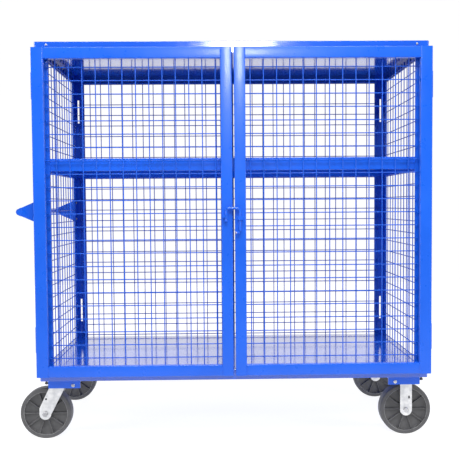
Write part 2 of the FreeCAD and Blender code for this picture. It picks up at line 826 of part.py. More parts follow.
def make_mounts():
    """Plates under the deck, folded down at both ends, that carry the casters."""
    mounts = []
    bolts = []
    half = "(depth/2-mount_inset)"
    for side, name in ((-1, "left"), (1, "right")):
        low = "caster_height+mount_wall-mount_lip"
        points = [
            ("-" + half, low),
            ("-%s+mount_wall" % half, low),
            ("-%s+mount_wall" % half, "caster_height"),
            (half + "-mount_wall", "caster_height"),
            (half + "-mount_wall", low),
            (half, low),
            (half, "caster_height+mount_wall"),
            ("-" + half, "caster_height+mount_wall"),
        ]
        body = prism("mount_" + name, "x", points, "%d*mount_x-mount_wide/2" % side, "mount_wide")
        holes = []
        centre = "%d*%s" % (side, "swivel_x" if side < 0 else "rigid_x")
        for end in (-1, 1):
            for n, (sx, sy) in enumerate(((-1, -1), (1, -1), (1, 1), (-1, 1))):
                holes.append(rod("mount_hole_%s%d%d" % (name, end + 1, n), "z",
                                 ["%s+%d*bolt_x/2" % (centre, sx),
                                  "%d*caster_y+%d*bolt_y/2" % (end, sy), "caster_height-over"],
                                 "bolt_radius", "mount_wall+2*over"))
            face = "-%s" % half if end < 0 else half + "-mount_wall"
            key = "%s%d" % (name, end + 1)
            hole, bolt = lip_bolt(key, "%d*lip_bolt_x" % side, face, low + "+lip_bolt_up")
            holes.append(hole)
            bolts.append(bolt)
        mounts.append(cut("mount_cut_" + name, body, join("mount_holes_" + name, holes)))
    keep(group("caster_mounts_all", mounts), "caster_mounts")
    keep(group("mount_bolts_all", bolts), "mount_bolts")


def lip_bolt(key, x, face, z):
    """The hole in a mount's lip that starts at face, and the bolt with its head and nut."""
    hole = rod("lip_hole_" + key, "y", [x, face + "-over", z], "lip_bolt", "mount_wall+2*over")
    shank = rod("lip_shank_" + key, "y", [x, face + "-over", z], "lip_bolt", "mount_wall+2*over")
    ends = [hexagon("lip_head_" + key, "y", [x, face + "-lip_head", z], "lip_hex", "lip_head"),
            hexagon("lip_nut_" + key, "y", [x, face + "+mount_wall", z], "lip_hex", "lip_head")]
    return hole, join("lip_bolt_" + key, [shank] + ends)


def caster_plate(key, x, y):
    """The plate and its four bolts with nuts."""
    plate = box("plate_" + key, [x + "-plate_x/2", y + "-plate_y/2", PLATE_LOW],
                ["plate_x", "plate_y", "plate_wall"])
    holes = []
    bolts = []
    for n, (sx, sy) in enumerate(((-1, -1), (1, -1), (1, 1), (-1, 1))):
        bx = "%s+%d*bolt_x/2" % (x, sx)
        by = "%s+%d*bolt_y/2" % (y, sy)
        holes.append(rod("ph_%s%d" % (key, n), "z", [bx, by, PLATE_LOW + "-over"], "bolt_radius",
                         "plate_wall+2*over"))
        shank = rod("bs_%s%d" % (key, n), "z", [bx, by, PLATE_LOW + "-bolt_nut-bolt_end"],
                    "bolt_radius", "bolt_end+bolt_nut+plate_wall+mount_wall+over")
        head = hexagon("bh_%s%d" % (key, n), "z", [bx, by, "caster_height+mount_wall"], "bolt_hex",
                       "bolt_head")
        nut = hexagon("bn_%s%d" % (key, n), "z", [bx, by, PLATE_LOW + "-bolt_nut"], "bolt_hex",
                      "bolt_nut")
        bolts.append(join("bolt_%s%d" % (key, n), [shank, head, nut]))
    return cut("plate_cut_" + key, plate, join("plate_holes_" + key, holes)), bolts


def axle_set(label, x, y):
    """Axle bolt with its head in front, and its nut behind."""
    out = LEG_IN + "+leg_wall"
    shank = rod(label + "_shank", "y", [x, "%s-(%s)" % (y, out), "wheel_radius"], "axle",
                "2*(%s)+axle_nut+axle_end" % out)
    head = hexagon(label + "_head", "y", [x, "%s-(%s)-axle_head" % (y, out), "wheel_radius"],
                   "axle_hex", "axle_head")
    bolt = join(label + "_bolt", [shank, head])
    nut_body = hexagon(label + "_nut_body", "y", [x, "%s+%s" % (y, out), "wheel_radius"], "axle_hex",
                       "axle_nut")
    nut_hole = rod(label + "_nut_hole", "y", [x, "%s+%s-over" % (y, out), "wheel_radius"], "axle",
                   "axle_nut+2*over")
    nut = cut(label + "_nut", nut_body, nut_hole)
    keep(group(label + "_all", [bolt, nut]), label)


def taper(name, low, radius_low, radius_high, length):
    """A cone frustum that starts at low and runs along +Y."""
    obj = doc.addObject("Part::Cone", name)
    obj.Placement = FreeCAD.Placement(FreeCAD.Vector(), TURN["y"])
    bind(obj, Radius1=radius_low, Radius2=radius_high, Height=length)
    place(obj, *low)
    return obj


def tyre(key, x, y):
    """The outer disc of a wheel, with its tread bevelled towards both sides."""
    inner = "wheel_radius-shoulder"
    return join(key + "_tyre", [
        taper(key + "_bevel0", [x, y + "-wheel_wide/2", "wheel_radius"], inner, "wheel_radius",
              "shoulder"),
        rod(key + "_disc", "y", [x, y + "-wheel_wide/2+shoulder", "wheel_radius"], "wheel_radius",
            "wheel_wide-2*shoulder"),
        taper(key + "_bevel1", [x, y + "+wheel_wide/2-shoulder", "wheel_radius"], "wheel_radius",
              inner, "shoulder"),
    ])


def wheel(key, x, y):
    """A moulded wheel with a bevelled tread, recessed sides, radial ribs and a hub."""
    rim_in = "(wheel_radius-tread)"
    tools = []
    for n, level in enumerate(("-wheel_wide/2-over", "+wheel_wide/2-recess")):
        tools.append(rod("%s_recess%d" % (key, n), "y", [x, y + level, "wheel_radius"], rim_in,
                         "recess+over"))
    dished = cut(key + "_dished", tyre(key, x, y), join(key + "_recesses", tools))
    solids = [dished, rod(key + "_hub", "y", [x, y + "-hub_wide/2", "wheel_radius"], "hub_radius",
                          "hub_wide")]
    count = int(size("rib_count"))
    for i in range(count):
        rib = doc.addObject("Part::Box", "%s_rib%d" % (key, i))
        bind(rib, Length="wheel_radius-tread/2-hub_radius/2", Width="wheel_wide-2*rib_inset",
             Height="rib")
        angle = 360.0 / count * i
        rib.Placement = FreeCAD.Placement(FreeCAD.Vector(),
                                          FreeCAD.Rotation(FreeCAD.Vector(0, 1, 0), angle))
        c, s = math.cos(math.radians(angle)), math.sin(math.radians(angle))
        place(rib, "%s+hub_radius/2*%.9f-rib/2*%.9f" % (x, c, s), y + "-wheel_wide/2+rib_inset",
              "wheel_radius-hub_radius/2*%.9f-rib/2*%.9f" % (s, c))
        solids.append(rib)
    body = join(key + "_solid", solids)
    bore = rod(key + "_bore", "y", [x, y + "-hub_wide", "wheel_radius"], "axle+running+bush_wall",
               "2*hub_wide")
    keep(cut(key + "_wheel_all", body, bore), key + "_wheel")
    length = "2*(%s-bush_play)" % LEG_IN
    outer = rod(key + "_bush_out", "y", [x, "%s-%s+bush_play" % (y, LEG_IN), "wheel_radius"],
                "axle+running+bush_wall", length)
    inner = rod(key + "_bush_in", "y", [x, "%s-%s-over" % (y, LEG_IN), "wheel_radius"], "axle+running",
                length + "+4*over")
    keep(cut(key + "_bush_all", outer, inner), key + "_bush")


def make_swivel(key, end):
    x = "-swivel_x"
    y = "%d*caster_y" % end
    axle_x = "(%s-trail)" % x
    plate, bolts = caster_plate(key, x, y)
    race_low = PLATE_LOW + "-race_high"
    race = rod("race_" + key, "z", [x, y, race_low], "race_radius", "race_high")
    crown_top = "%s-race_gap" % race_low
    crown = rod("crown_" + key, "z", [x, y, crown_top + "-crown_wall"], "crown_radius", "crown_wall")
    pieces = [crown]
    for n, sign in enumerate((-1, 1)):
        level = "%s-%s-leg_wall" % (y, LEG_IN) if sign < 0 else "%s+%s" % (y, LEG_IN)
        pieces.append(prism("leg_%s%d" % (key, n), "y", [
            (x + "-leg_lean-leg_top/2", crown_top),
            (axle_x + "-leg_round", "wheel_radius+leg_round"),
            (axle_x + "-leg_round", "wheel_radius"),
            (axle_x + "+leg_round*leg_taper", "wheel_radius-leg_round*leg_taper"),
            (x + "-leg_lean+leg_top/2", crown_top),
        ], level, "leg_wall"))
        pieces.append(rod("lug_%s%d" % (key, n), "y", [axle_x, level, "wheel_radius"], "leg_round",
                          "leg_wall"))
    body = join("fork_body_" + key, pieces)
    span = "2*(%s+leg_wall+over)" % LEG_IN
    start = "%s-%s-leg_wall-over" % (y, LEG_IN)
    tools = [
        rod("fork_axle_hole_" + key, "y", [axle_x, start, "wheel_radius"], "axle", span),
        rod("fork_small_hole_" + key, "y",
            [axle_x + "+leg_hole_x", start, "wheel_radius+leg_hole_z"], "leg_hole", span),
        rod("fork_king_hole_" + key, "z", [x, y, crown_top + "-crown_wall-over"], "kingpin+running",
            "crown_wall+2*over"),
    ]
    keep(cut("fork_all_" + key, body, join("fork_tools_" + key, tools)), key + "_fork")
    stem = rod("stem_" + key, "z", [x, y, crown_top + "-crown_wall-king_step"], "kingpin",
               "king_step+crown_wall+race_gap+race_high/2")
    nut = rod("stem_nut_" + key, "z", [x, y, crown_top + "-crown_wall-king_step-king_nut_high"],
              "king_nut", "king_nut_high+over/2")
    pin = join("kingpin_" + key, [stem, nut])
    socket = rod("socket_" + key, "z", [x, y, race_low + "-over"], "kingpin", "race_high/2+over")
    axle_set(key + "_axle", axle_x, y)
    wheel(key, axle_x, y)
    return plate, bolts, cut("race_cut_" + key, race, socket), pin


def make_rigid(key, end):
    x = "rigid_x"
    y = "%d*caster_y" % end
    plate, bolts = caster_plate(key, x, y)
    pieces = [plate]
    for n, sign in enumerate((-1, 1)):
        level = "%s-%s-leg_wall" % (y, LEG_IN) if sign < 0 else "%s+%s" % (y, LEG_IN)
        pieces.append(box("leg_%s%d" % (key, n), [x + "-rigid_leg/2", level, "wheel_radius"],
                          ["rigid_leg", "leg_wall", PLATE_LOW + "-wheel_radius+over"]))
        pieces.append(rod("lug_%s%d" % (key, n), "y", [x, level, "wheel_radius"], "rigid_leg/2",
                          "leg_wall"))
    body = join("frame_body_" + key, pieces)
    slot_x = x + "+rigid_slot_x"
    slot_z = "wheel_radius+rigid_slot_z"
    span = "2*(%s+leg_wall+over)" % LEG_IN
    start = "%s-%s-leg_wall-over" % (y, LEG_IN)
    tools = [
        rod("frame_axle_hole_" + key, "y", [x, start, "wheel_radius"], "axle", span),
        rod("frame_slot_a_" + key, "y", [slot_x, start, slot_z], "rigid_slot", span),
        rod("frame_slot_b_" + key, "y", [slot_x, start, slot_z + "+rigid_slot_long"], "rigid_slot", span),
        box("frame_slot_c_" + key, [slot_x + "-rigid_slot", start, slot_z],
            ["2*rigid_slot", span, "rigid_slot_long"]),
    ]
    keep(cut("frame_all_" + key, body, join("frame_tools_" + key, tools)), key + "_frame")
    axle_set(key + "_axle", x, y)
    wheel(key, x, y)
    return bolts


def make_casters():
    make_mounts()
    plates = []
    races = []
    pins = []
    bolts = []
    for key, end in (("front_left", -1), ("rear_left", 1)):
        plate, set_of_bolts, race, pin = make_swivel(key, end)
        plates.append(plate)
        races.append(race)
        pins.append(pin)
        bolts += set_of_bolts
    for key, end in (("front_right", -1), ("rear_right", 1)):
        bolts += make_rigid(key, end)
    keep(group("swivel_plates_all", plates), "swivel_plates")
    keep(group("race_rings_all", races), "race_rings")
    keep(group("kingpins_all", pins), "kingpins")
    keep(group("caster_bolts_all", bolts), "caster_bolts")


def write_parts():
    doc.recompute()
    for obj in doc.Objects:
        if "Invalid" in obj.State or "Error" in obj.State:
            raise RuntimeError("%s is %s" % (obj.Name, obj.State))
    for obj in parts:
        shape = obj.Shape
        if shape.isNull() or not shape.isValid() or not shape.Solids:
            raise RuntimeError("%s has no valid solid" % obj.Label)
    os.makedirs("parts", exist_ok=True)
    for obj in parts:
        obj.Shape.exportStep("parts/%s.step" % obj.Label)
        bounds = obj.Shape.BoundBox
        print("%-22s %3d solids  x %8.1f %8.1f  y %8.1f %8.1f  z %8.1f %8.1f" % (
            obj.Label, len(obj.Shape.Solids), bounds.XMin, bounds.XMax, bounds.YMin, bounds.YMax,
            bounds.ZMin, bounds.ZMax))
    print(len(parts), "sub-parts written")


fill_sheet()
make_deck()
make_roof()
make_studs()
make_shelf()
for side_name, side_sign in (("left", -1), ("right", 1)):
    for end_name, end_sign in (("front", -1), ("rear", 1)):
        make_post("%s_%s_post" % (end_name, side_name), side_sign, end_sign)
make_headers()
make_cage_mesh()
make_door("left", -1)
make_door("right", 1)
make_hinges()
make_latch()
make_handle()
make_casters()
write_parts()
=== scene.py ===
"""Looks of a wire-mesh security cart: paint, zinc and moulded materials, round welded wires,
rolled door frames, bent latch bar and detailed casters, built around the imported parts."""
import math

import bmesh
import bpy
from mathutils import Matrix, Vector


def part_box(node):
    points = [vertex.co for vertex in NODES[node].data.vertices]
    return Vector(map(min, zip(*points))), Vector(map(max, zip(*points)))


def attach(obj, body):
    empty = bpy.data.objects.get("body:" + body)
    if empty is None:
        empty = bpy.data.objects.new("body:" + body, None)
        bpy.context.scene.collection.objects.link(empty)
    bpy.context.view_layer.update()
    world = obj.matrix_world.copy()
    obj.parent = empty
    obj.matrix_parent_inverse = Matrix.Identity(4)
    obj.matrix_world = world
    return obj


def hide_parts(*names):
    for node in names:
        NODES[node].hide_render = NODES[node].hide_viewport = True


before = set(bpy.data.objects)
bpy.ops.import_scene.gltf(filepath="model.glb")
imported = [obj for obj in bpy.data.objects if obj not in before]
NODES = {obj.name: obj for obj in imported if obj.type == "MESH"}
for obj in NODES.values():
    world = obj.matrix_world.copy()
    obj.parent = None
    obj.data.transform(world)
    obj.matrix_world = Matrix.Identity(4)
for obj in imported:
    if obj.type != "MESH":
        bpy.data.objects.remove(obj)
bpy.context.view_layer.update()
CORNERS = ("front_left", "rear_left", "front_right", "rear_right")

# metres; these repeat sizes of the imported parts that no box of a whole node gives
PITCH = 0.0508
WIRE = 0.002
WIRE_END = 0.006
CAGE_ROW_UP = 0.011
TUBE_CORNER = 0.003
TUBE_WALL = 0.002
BAR_LEFT_LONG = 0.051
BAR_FOOT = 0.018
WHEEL_HALF = 0.0254
TREAD = 0.016
RECESS = 0.012
HUB = 0.022
HUB_HALF = 0.028
LEG_OUT = 0.0344
PLATE_HALF = 0.057
PLATE_WALL = 0.0064
BOLT_X = 0.032
BOLT_Y = 0.04445


# materials -----------------------------------------------------------------------------------

class Shader:
    """A node-based material with a few helpers for adding procedural detail."""

    def __init__(self, name):
        self.mat = bpy.data.materials.new(name)
        self.mat.use_nodes = True
        self.tree = self.mat.node_tree
        self.tree.nodes.clear()
        out = self.add("ShaderNodeOutputMaterial")
        self.bsdf = self.add("ShaderNodeBsdfPrincipled")
        self.link(self.bsdf.outputs[0], out.inputs[0])
        self.coords = self.add("ShaderNodeTexCoord").outputs["Object"]

    def add(self, kind):
        return self.tree.nodes.new(kind)

    def link(self, a, b):
        self.tree.links.new(a, b)

    def set(self, **values):
        for name, number in values.items():
            self.bsdf.inputs[name.replace("_", " ")].default_value = number

    def noise(self, scale, detail=2.0, stretch=None):
        node = self.add("ShaderNodeTexNoise")
        node.inputs["Scale"].default_value = scale
        node.inputs["Detail"].default_value = detail
        source = self.coords
        if stretch:
            mapping = self.add("ShaderNodeMapping")
            mapping.inputs["Scale"].default_value = stretch
            self.link(self.coords, mapping.inputs["Vector"])
            source = mapping.outputs[0]
        self.link(source, node.inputs["Vector"])
        return node.outputs["Fac"]

    def ramp(self, fac, low, high, dark, light):
        node = self.add("ShaderNodeValToRGB")
        first, last = node.color_ramp.elements
        first.position, last.position = low, high
        first.color, last.color = (*dark, 1), (*light, 1)
        self.link(fac, node.inputs["Fac"])
        return node.outputs["Color"]

    def spread(self, fac, low, high):
        node = self.add("ShaderNodeMapRange")
        node.inputs["From Min"].default_value = 0.3
        node.inputs["From Max"].default_value = 0.7
        node.inputs["To Min"].default_value = low
        node.inputs["To Max"].default_value = high
        self.link(fac, node.inputs["Value"])
        return node.outputs["Result"]

    def bumps(self, *layers):
        """Layers are (height, strength, distance in metres)."""
        before = None
        for height, strength, distance in layers:
            node = self.add("ShaderNodeBump")
            node.inputs["Strength"].default_value = strength
            node.inputs["Distance"].default_value = distance
            self.link(height, node.inputs["Height"])
            if before:
                self.link(before, node.inputs["Normal"])
            before = node.outputs["Normal"]
        self.link(before, self.bsdf.inputs["Normal"])


def paint(name, tone=1.0, coat=0.25, rough=(0.26, 0.34), ior=1.45):
    """Glossy powder coat with a faint orange peel and slight changes of shade."""
    s = Shader(name)
    dark = (0.005 * tone, 0.093 * tone, 0.610 * tone)
    light = (0.008 * tone, 0.109 * tone, 0.680 * tone)
    s.link(s.ramp(s.noise(3.5, 3.0), 0.35, 0.65, dark, light), s.bsdf.inputs["Base Color"])
    s.link(s.spread(s.noise(24.0, 4.0), *rough), s.bsdf.inputs["Roughness"])
    s.bumps((s.noise(420.0, 1.0), 0.08, 0.0003), (s.noise(14.0, 1.0), 0.04, 0.001))
    s.set(IOR=ior, Coat_Weight=coat, Coat_Roughness=0.12, Coat_IOR=1.45)
    return s.mat


def metal(name, dark, light, rough, grain=None, fine=900.0):
    s = Shader(name)
    s.link(s.ramp(s.noise(45.0, 4.0), 0.35, 0.68, dark, light), s.bsdf.inputs["Base Color"])
    s.link(s.spread(s.noise(130.0, 3.0, grain), *rough), s.bsdf.inputs["Roughness"])
    s.bumps((s.noise(fine, 1.0, grain), 0.12, 0.0002), (s.noise(90.0, 2.0), 0.06, 0.0006))
    s.set(Metallic=1.0)
    return s.mat


def plastic(name, dark, light, rough, fine=700.0):
    s = Shader(name)
    s.link(s.ramp(s.noise(26.0, 5.0), 0.3, 0.7, dark, light), s.bsdf.inputs["Base Color"])
    s.link(s.spread(s.noise(70.0, 3.0), *rough), s.bsdf.inputs["Roughness"])
    s.bumps((s.noise(fine, 2.0), 0.25, 0.0003), (s.noise(50.0, 2.0), 0.08, 0.001))
    s.set(IOR=1.48)
    return s.mat


BLUE = paint("blue_powder_coat")
BLUE_SHEET = paint("blue_sheet_coat", coat=0.5, rough=(0.20, 0.27), ior=1.5)
BLUE_PAN = paint("blue_pan_coat", coat=1.0, rough=(0.10, 0.15), ior=1.75)
# The same blue at half tone: painted shade for the shadow the roof pan casts on the rear header, rear
# centre post and side headers
BLUE_PAINTED_SHADE = paint("blue_rear_painted_shade_coat", tone=0.5, coat=0.1, ior=1.4)
BLUE_WIRE = paint("blue_wire_coat", tone=0.85, coat=0.0, rough=(0.34, 0.42), ior=1.4)
ZINC = metal("bright_zinc", (0.66, 0.67, 0.69), (0.90, 0.90, 0.91), (0.34, 0.50))
STEEL = metal("plated_bolt", (0.38, 0.38, 0.40), (0.66, 0.66, 0.68), (0.24, 0.38), fine=1600.0)
WORN = metal("bare_bar_end", (0.20, 0.17, 0.15), (0.40, 0.36, 0.33), (0.35, 0.55))
WHEEL = plastic("wheel_moulding", (0.066, 0.066, 0.070), (0.094, 0.094, 0.098), (0.42, 0.60))
RIM = plastic("wheel_rim_line", (0.13, 0.13, 0.135), (0.19, 0.19, 0.195), (0.36, 0.52), fine=1100.0)
BUSH = plastic("bush_moulding", (0.22, 0.21, 0.19), (0.34, 0.32, 0.30), (0.40, 0.55))
# Near-black steel for the deck corner studs: the darkness is painted shadow from the deck lip above them
STUD_PAINTED_SHADE = metal("stud_painted_shade", (0.07, 0.07, 0.075), (0.14, 0.14, 0.15), (0.35, 0.5))


# mesh helpers --------------------------------------------------------------------------------

def turned(direction):
    """A frame whose third axis runs along the direction."""
    z = Vector(direction).normalized()
    helper = Vector((0, 0, 1)) if abs(z.z) < 0.9 else Vector((1, 0, 0))
    x = helper.cross(z).normalized()
    return x, z.cross(x), z


def add_ring(bm, spots):
    return [bm.verts.new(p) for p in spots]


def bridge(bm, first, second):
    n = len(first)
    for i in range(n):
        j = (i + 1) % n
        bm.faces.new((first[i], first[j], second[j], second[i]))


def add_tube(bm, path, radius, sides=10):
    """A round bar through the points, closed at both ends."""
    rings = []
    for i, p in enumerate(path):
        ahead = (path[min(i + 1, len(path) - 1)] - path[max(i - 1, 0)]).normalized()
        x, y, z = turned(ahead)
        rings.append(add_ring(bm, [p + (x * math.cos(a) + y * math.sin(a)) * radius
                                   for a in [math.tau * k / sides for k in range(sides)]]))
    for first, second in zip(rings, rings[1:]):
        bridge(bm, first, second)
    bm.faces.new(list(reversed(rings[0])))
    bm.faces.new(rings[-1])


def add_lathe(bm, centre, axis, profile, steps=64):
    """Turns (distance along the axis, radius) points about the axis; both ends are closed."""
    x, y, z = turned(axis)
    rings = []
    for along, radius in profile:
        middle = centre + z * along
        rings.append(add_ring(bm, [middle + (x * math.cos(a) + y * math.sin(a)) * radius
                                   for a in [math.tau * k / steps for k in range(steps)]]))
    for first, second in zip(rings, rings[1:]):
        bridge(bm, first, second)
    bm.faces.new(list(reversed(rings[0])))
    bm.faces.new(rings[-1])


def add_hex(bm, centre, axis, radius, high, edge=0.0006):
    """A hexagon head with its outer rim bevelled."""
    x, y, z = turned(axis)
    rings = []
    for level, r in ((0.0, radius), (high - edge * 1.6, radius), (high, radius - edge * 2.2)):
        rings.append(add_ring(bm, [centre + z * level + (x * math.cos(a) + y * math.sin(a)) * r
                                   for a in [math.tau * k / 6 for k in range(6)]]))
    for first, second in zip(rings, rings[1:]):
        bridge(bm, first, second)
    bm.faces.new(list(reversed(rings[0])))
    bm.faces.new(rings[-1])


def finish_mesh(bm, name, material, body, nodes=(), angle=35.0):
    bmesh.ops.recalc_face_normals(bm, faces=bm.faces)
    mesh = bpy.data.meshes.new(name)
    bm.to_mesh(mesh)
    bm.free()
    mesh.shade_smooth()
    mesh.set_sharp_from_angle(angle=math.radians(angle))
    mesh.materials.append(material)
    obj = bpy.data.objects.new(name, mesh)
    bpy.context.scene.collection.objects.link(obj)
    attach(obj, body)
    if nodes:
        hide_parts(*nodes)
    return obj


def rounded_outline(w, h, radius, steps=6):
    """Corner-rounded rectangle about the middle, as (a, b) pairs going round once."""
    spots = []
    for ca, cb, start in ((1, 1, 0), (-1, 1, 90), (-1, -1, 180), (1, -1, 270)):
        for k in range(steps + 1):
            angle = math.radians(start + 90.0 * k / steps)
            spots.append((ca * (w / 2 - radius) + radius * math.cos(angle),
                          cb * (h / 2 - radius) + radius * math.sin(angle)))
    return spots


def add_profile_bar(bm, low, high, axis, radius, wall):
    """A rolled tube that fills the box from low to high along one axis, with open ends."""
    a, b = [i for i in range(3) if i != axis]
    w, h = high[a] - low[a], high[b] - low[b]
    middle = [(low[i] + high[i]) / 2 for i in range(3)]
    edge = 0.0005
    outer = rounded_outline(w, h, radius)
    inner = rounded_outline(w - 2 * wall, h - 2 * wall, max(radius - wall, 0.0005))
    shy = rounded_outline(w - 2 * edge, h - 2 * edge, radius - edge)

    def ring(outline, level):
        spots = []
        for u, v in outline:
            p = [0.0, 0.0, 0.0]
            p[axis], p[a], p[b] = level, middle[a] + u, middle[b] + v
            spots.append(p)
        return add_ring(bm, spots)

    deep = min(0.02, (high[axis] - low[axis]) / 3)
    rings = [ring(inner, low[axis] + deep), ring(inner, low[axis]), ring(shy, low[axis]),
             ring(outer, low[axis] + edge), ring(outer, high[axis] - edge), ring(shy, high[axis]),
             ring(inner, high[axis]), ring(inner, high[axis] - deep)]
    for first, second in zip(rings, rings[1:]):
        bridge(bm, first, second)
    bm.faces.new(rings[0])
    bm.faces.new(rings[-1])


# wire mesh -----------------------------------------------------------------------------------

def wire_panel(node, body, columns, rows, column_at, row_at, across, ends, heights):
    """Round wires with a small weld nugget at every crossing. across is the axis the columns
    are spaced along, 0 or 1; column_at and row_at are the levels on the other one."""
    bm = bmesh.new()

    def spot(a, level, z):
        return Vector((a, level, z)) if across == 0 else Vector((level, a, z))

    for a in columns:
        path = [spot(a, column_at, heights[0] + (heights[1] - heights[0]) * t / 4) for t in range(5)]
        add_tube(bm, path, WIRE)
    for z in rows:
        path = [spot(ends[0] + (ends[1] - ends[0]) * t / 4, row_at, z) for t in range(5)]
        add_tube(bm, path, WIRE)
    nugget = bmesh.new()
    bmesh.ops.create_icosphere(nugget, subdivisions=1, radius=WIRE * 1.15)
    template = [v.co.copy() for v in nugget.verts]
    faces = [[v.index for v in f.verts] for f in nugget.faces]
    nugget.free()
    middle = (column_at + row_at) / 2
    for a in columns:
        for z in rows:
            at = spot(a, middle, z)
            made = [bm.verts.new(at + p) for p in template]
            for f in faces:
                bm.faces.new([made[i] for i in f])
    return finish_mesh(bm, node + "_wires", BLUE_WIRE, body, [node], 60.0)


def spaced(first, count):
    return [first + i * PITCH for i in range(count)]


def make_wires():
    for side in ("left", "right"):
        low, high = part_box(side + "_mesh")
        wire_panel(side + "_mesh", side + "_door", spaced(low.x + WIRE_END, 15),
                   spaced(low.z + WIRE_END, 25), low.y + WIRE, high.y - WIRE, 0,
                   (low.x, high.x), (low.z, high.z))
        low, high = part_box("rear_mesh_" + side)
        wire_panel("rear_mesh_" + side, "cage", spaced(low.x + WIRE_END, 15),
                   spaced(low.z + CAGE_ROW_UP, 25), high.y - WIRE, low.y + WIRE, 0,
                   (low.x, high.x), (low.z, high.z))
        low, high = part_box(side + "_side_mesh")
        outer, inner = low.x + WIRE, high.x - WIRE
        if side == "right":
            outer, inner = inner, outer
        wire_panel(side + "_side_mesh", "cage", spaced(low.y + WIRE_END, 14),
                   spaced(low.z + CAGE_ROW_UP, 25), outer, inner, 1, (low.y, high.y), (low.z, high.z))


# doors ---------------------------------------------------------------------------------------

def weld_bead(bm, start, finish, radius, lumps):
    """A rippled bead of weld between two points."""
    steps = lumps * 4
    path = [start.lerp(finish, i / steps) for i in range(steps + 1)]
    x, y, z = turned(finish - start)
    rings = []
    for i, p in enumerate(path):
        fade = min(1.0, 6.0 * min(i, steps - i) / steps + 0.25)
        r = radius * fade * (1.0 + 0.14 * math.cos(math.tau * i / 4))
        rings.append(add_ring(bm, [p + (x * math.cos(a) + y * math.sin(a)) * r
                                   for a in [math.tau * k / 8 for k in range(8)]]))
    for first, second in zip(rings, rings[1:]):
        bridge(bm, first, second)
    bm.faces.new(list(reversed(rings[0])))
    bm.faces.new(rings[-1])


def make_doors():
    for side in ("left", "right"):
        body = side + "_door"
        for member in ("_hinge_stile", "_free_stile"):
            bm = bmesh.new()
            add_profile_bar(bm, *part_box(side + member), 2, TUBE_CORNER, TUBE_WALL)
            finish_mesh(bm, side + member + "_tube", BLUE, body, [side + member])
        for member in ("_top_rail", "_bottom_rail"):
            bm = bmesh.new()
            add_profile_bar(bm, *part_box(side + member), 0, TUBE_CORNER, TUBE_WALL)
            finish_mesh(bm, side + member + "_tube", BLUE, body, [side + member])
        bm = bmesh.new()
        for member in ("_top_rail", "_bottom_rail"):
            low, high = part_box(side + member)
            for x in (low.x, high.x):
                for y in (low.y + 0.0006, high.y - 0.0006):
                    weld_bead(bm, Vector((x, y, low.z + 0.004)), Vector((x, y, high.z - 0.004)),
                              0.0014, 9)
        finish_mesh(bm, side + "_corner_welds", BLUE, body, angle=60.0)


def make_latch():
    low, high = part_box("latch_bar")
    r = (high.y - low.y) / 2
    y = (low.y + high.y) / 2
    left, right = low.x + r, high.x - r
    top, foot = high.z - r, low.z + r
    left_end = top - BAR_LEFT_LONG
    bend = 0.012
    turns = [(left, left_end), (left, top), (right, top), (right, foot), (right - BAR_FOOT, foot)]
    path = [Vector((left, y, left_end))]
    for before, at, after in zip(turns, turns[1:], turns[2:]):
        come = (Vector(before) - Vector(at)).normalized()
        go = (Vector(after) - Vector(at)).normalized()
        centre = Vector(at) + (come + go) * bend
        for k in range(9):
            angle = math.radians(90.0 * k / 8)
            p = centre - go * bend * math.cos(angle) - come * bend * math.sin(angle)
            path.append(Vector((p.x, y, p.y)))
    path.append(Vector((right - BAR_FOOT, y, foot)))
    bm = bmesh.new()
    add_tube(bm, path, r, 16)
    finish_mesh(bm, "latch_bent_bar", BLUE, "latch", ["latch_bar"])
    bm = bmesh.new()
    add_lathe(bm, Vector((right - BAR_FOOT - 0.0002, y, foot)), (-1, 0, 0),
              [(-0.004, r * 1.01), (-0.0006, r * 1.01), (0.0002, r * 0.8)], 24)
    finish_mesh(bm, "latch_bar_end", WORN, "latch")


# push handle ---------------------------------------------------------------------------------

def make_handle():
    low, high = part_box("handle_tube")
    r = (high.x - low.x) / 2
    centre = Vector(((low.x + high.x) / 2, low.y, (low.z + high.z) / 2))
    length = high.y - low.y
    bm = bmesh.new()
    add_lathe(bm, centre, (0, 1, 0), [(0, r - 0.0004), (0.0004, r), (length / 2, r),
                                      (length - 0.0004, r), (length, r - 0.0004)], 48)
    finish_mesh(bm, "handle_round_tube", BLUE, "cage", ["handle_tube"])
    bm = bmesh.new()
    for y in (low.y, high.y):
        spots = [centre + Vector((r * math.cos(a), 0, r * math.sin(a)))
                 for a in [math.tau * k / 40 for k in range(41)]]
        for p in spots:
            p.y = y + (0.0008 if y < 0 else -0.0008)
        add_tube(bm, spots, 0.0013, 8)
    finish_mesh(bm, "handle_tube_welds", BLUE, "cage", angle=60.0)
    bm = bmesh.new()
    low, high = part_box("handle_bolts")
    for y in (low.y + 0.0065, high.y - 0.0065):
        for z in (low.z + 0.0075, high.z - 0.0075):
            face = Vector((low.x + 0.005, y, z))
            add_lathe(bm, face + Vector((0.0002, 0, 0)), (-1, 0, 0),
                      [(0, 0.0085), (0.0011, 0.0085), (0.0013, 0.0082)], 32)
            add_hex(bm, face + Vector((-0.0013, 0, 0)), (-1, 0, 0), 0.0071, 0.0036)
            inside = Vector((high.x - 0.006, y, z))
            add_hex(bm, inside, (1, 0, 0), 0.0073, 0.0044)
            add_lathe(bm, inside, (1, 0, 0), [(-0.009, 0.0039), (0.0054, 0.0039), (0.006, 0.0033)], 20)
    finish_mesh(bm, "handle_hex_bolts", STEEL, "cage", ["handle_bolts"])
    bm = bmesh.new()
    low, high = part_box("handle_brackets")
    for y, out in ((low.y, -1), (high.y, 1)):
        at = Vector((centre.x, y - out * 0.0004, centre.z))
        add_lathe(bm, at, (0, out, 0), [(0, r), (0.0006, r), (0.0012, r - 0.0006),
                                        (0.0012, r - 0.0020), (0.0002, r - 0.0024)], 40)
    finish_mesh(bm, "handle_tube_ends", BLUE, "cage")


# casters -------------------------------------------------------------------------------------

